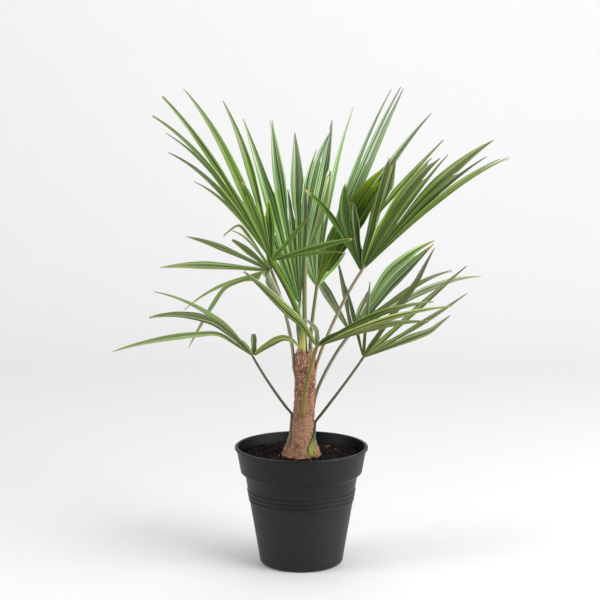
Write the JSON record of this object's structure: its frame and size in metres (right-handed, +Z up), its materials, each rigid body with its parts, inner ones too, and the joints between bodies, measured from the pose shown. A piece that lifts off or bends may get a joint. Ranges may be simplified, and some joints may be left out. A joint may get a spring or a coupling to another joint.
{
  "type": "potted windmill palm",
  "caption": "Young windmill palm with a short fibrous trunk, long leaf stalks and slim split leaf fans, in a round tapered nursery pot.",
  "frame": {"origin": "centre of the pot's flat underside", "axes": "+Z up, -Y towards the front of the plant, +X to the right seen from the front"},
  "size_m": [0.553, 0.2957, 0.6819],
  "materials": {
    "pot": "satin charcoal plastic",
    "soil": "dark crumbly potting soil",
    "trunk": "red-brown fibre",
    "petiole": "smooth olive green",
    "frond": "satin green leaf"
  },
  "bodies": {
    "root": {"pot": "pot", "soil": "soil", "trunk": "trunk", "petiole_spear": "petiole", "petiole_centre": "petiole", "petiole_upper_left": "petiole", "petiole_middle_left": "petiole", "petiole_lower_left": "petiole", "petiole_back": "petiole", "petiole_front": "petiole", "petiole_upper_right": "petiole", "petiole_middle_right": "petiole", "petiole_lower_right": "petiole", "frond_spear": "frond", "frond_centre": "frond", "frond_upper_left": "frond", "frond_middle_left": "frond", "frond_lower_left": "frond", "frond_back": "frond", "frond_front": "frond", "frond_upper_right": "frond", "frond_middle_right": "frond", "frond_lower_right": "frond"}
  },
  "joints": []
}
